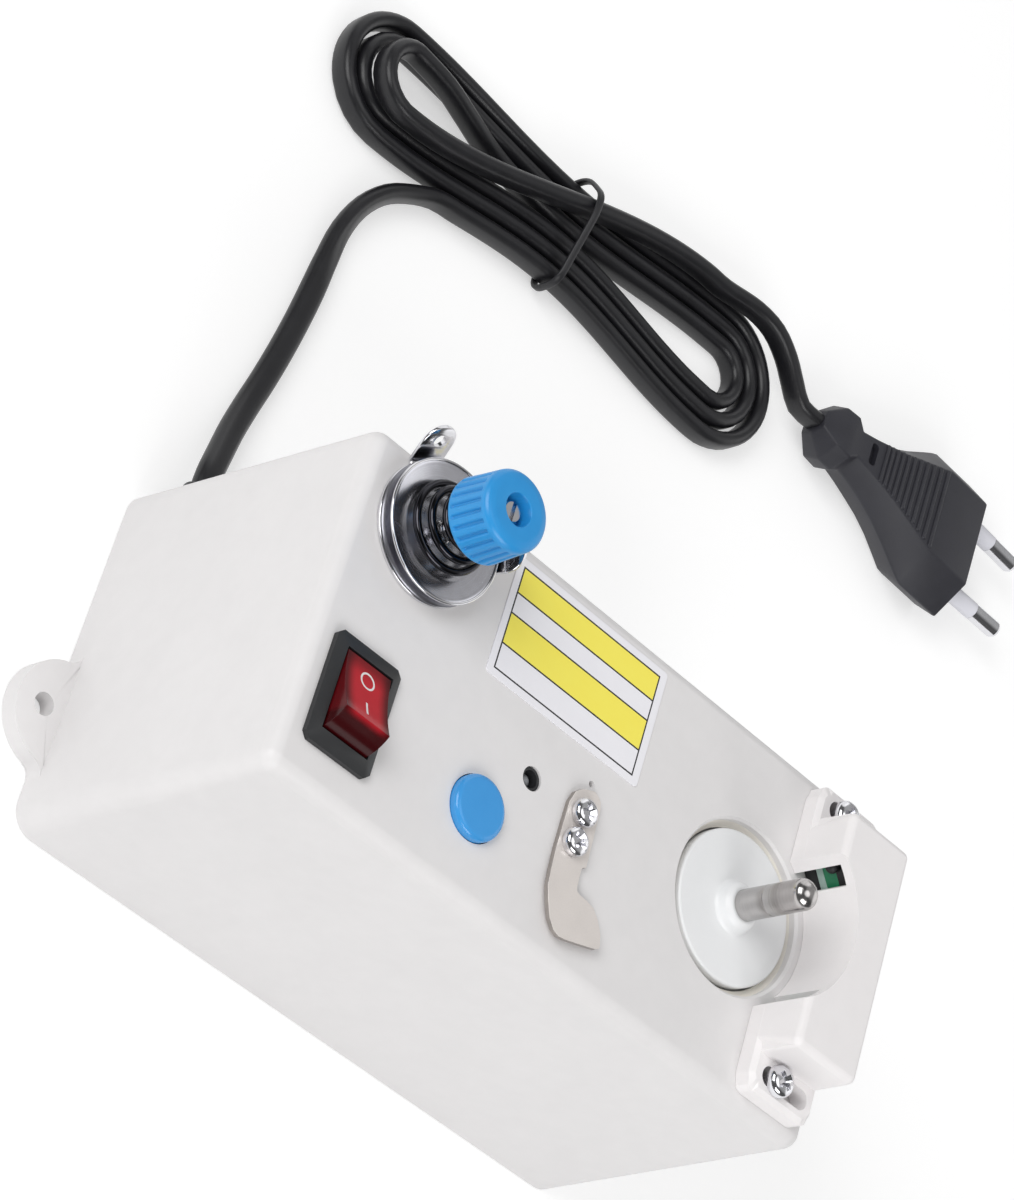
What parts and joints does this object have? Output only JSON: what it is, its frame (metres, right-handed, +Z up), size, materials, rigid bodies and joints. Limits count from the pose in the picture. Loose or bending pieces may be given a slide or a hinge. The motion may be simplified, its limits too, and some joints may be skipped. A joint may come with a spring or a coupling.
{
  "type": "bobbin winder",
  "caption": "Box-shaped mains bobbin winder with a winding spindle, sliding bobbin-full sensor, thread tension unit, thread cutter, rocker switch, push button and a corded plug.",
  "frame": {"origin": "centre of the base, on the surface that the case stands on", "axes": "+Z up out of the control face, +X along the case towards the spindle, +Y towards the cord side"},
  "size_m": [0.2255, 0.2012, 0.0838],
  "materials": {
    "shell": "satin off-white moulding",
    "nylon": "smooth white nylon",
    "blue": "semi-gloss blue moulding",
    "black_plastic": "fine matt black",
    "red": "glossy translucent red",
    "bright_metal": "bright plated",
    "dark_metal": "dark satin",
    "blade_steel": "satin nickel",
    "board": "green circuit board",
    "clear": "water clear",
    "brass": "plain",
    "label": "printed sticker without lettering",
    "cord": "smooth black sheath",
    "sleeve": "pale insulating sleeve"
  },
  "bodies": {
    "case": {"top_case": "shell", "base_plate": "shell", "base_screws": "bright_metal", "label_sticker": "label", "motor": "dark_metal", "motor_bracket": "bright_metal", "bracket_screws": "bright_metal", "motor_screws": "bright_metal", "control_board": "board", "board_screws": "bright_metal", "indicator_led": "clear", "button_switch": "black_plastic", "power_board": "board", "transformer": "dark_metal", "filter_capacitor": "black_plastic", "power_screws": "brass", "switch_body": "black_plastic", "switch_terminals": "brass", "guide_plate": "bright_metal", "tension_post": "bright_metal", "post_nut": "bright_metal", "tension_spring": "dark_metal", "cutter_blade": "blade_steel", "blade_screws": "bright_metal", "housing_screws": "bright_metal", "cord_grommet": "cord", "cord_lead": "cord", "cord_hank": "cord", "cord_tie": "cord", "plug_body": "cord", "pin_sleeves": "sleeve", "plug_pins": "bright_metal"},
    "winder": {"motor_shaft": "bright_metal", "spindle": "bright_metal", "spindle_disc": "nylon"},
    "button": {"start_button": "blue"},
    "switch_rocker": {"rocker": "red"},
    "tension_discs": {"lower_disc": "bright_metal", "upper_disc": "dark_metal"},
    "spring_carrier": {"spring_seat": "bright_metal"},
    "knob": {"tension_knob": "blue"},
    "sensor_slide": {"sensor_housing": "shell", "sensor_boards": "board", "sensor_emitter": "clear", "sensor_receiver": "black_plastic"}
  },
  "joints": [
    {"name": "spindle_spin", "type": "hinge", "parent": "case", "child": "winder", "pos_m": [0.0385, 0, 0.06], "axis": [0, 0, 1], "continuous": true},
    {"name": "button_press", "type": "slide", "parent": "case", "child": "button", "axis": [0, 0, -1], "range_m": [0, 0.0012], "stiffness_N_per_m": 600, "springref_m": -0.0006},
    {"name": "rocker_tilt", "type": "hinge", "parent": "case", "child": "switch_rocker", "pos_m": [-0.05635, -0.0155, 0.0628], "axis": [1, 0, 0], "range_deg": [0, 40]},
    {"name": "disc_turn", "type": "hinge", "parent": "case", "child": "tension_discs", "pos_m": [-0.0513, 0.0215, 0.0652], "axis": [0, 0, 1], "continuous": true},
    {"name": "knob_advance", "type": "slide", "parent": "case", "child": "spring_carrier", "axis": [0, 0, 1], "range_m": [-0.0014, 0.0014], "deforming": ["tension_spring"]},
    {"name": "knob_turn", "type": "hinge", "parent": "spring_carrier", "child": "knob", "pos_m": [-0.0513, 0.0215, 0.079], "axis": [0, 0, 1], "range_deg": [-721, 721]},
    {"name": "sensor_adjust", "type": "slide", "parent": "case", "child": "sensor_slide", "axis": [1, 0, 0], "range_m": [-0.0065, 0.002]}
  ],
  "couplings": [
    {"joint": "knob_turn", "follows": "knob_advance", "rad_per_m": 8976}
  ]
}
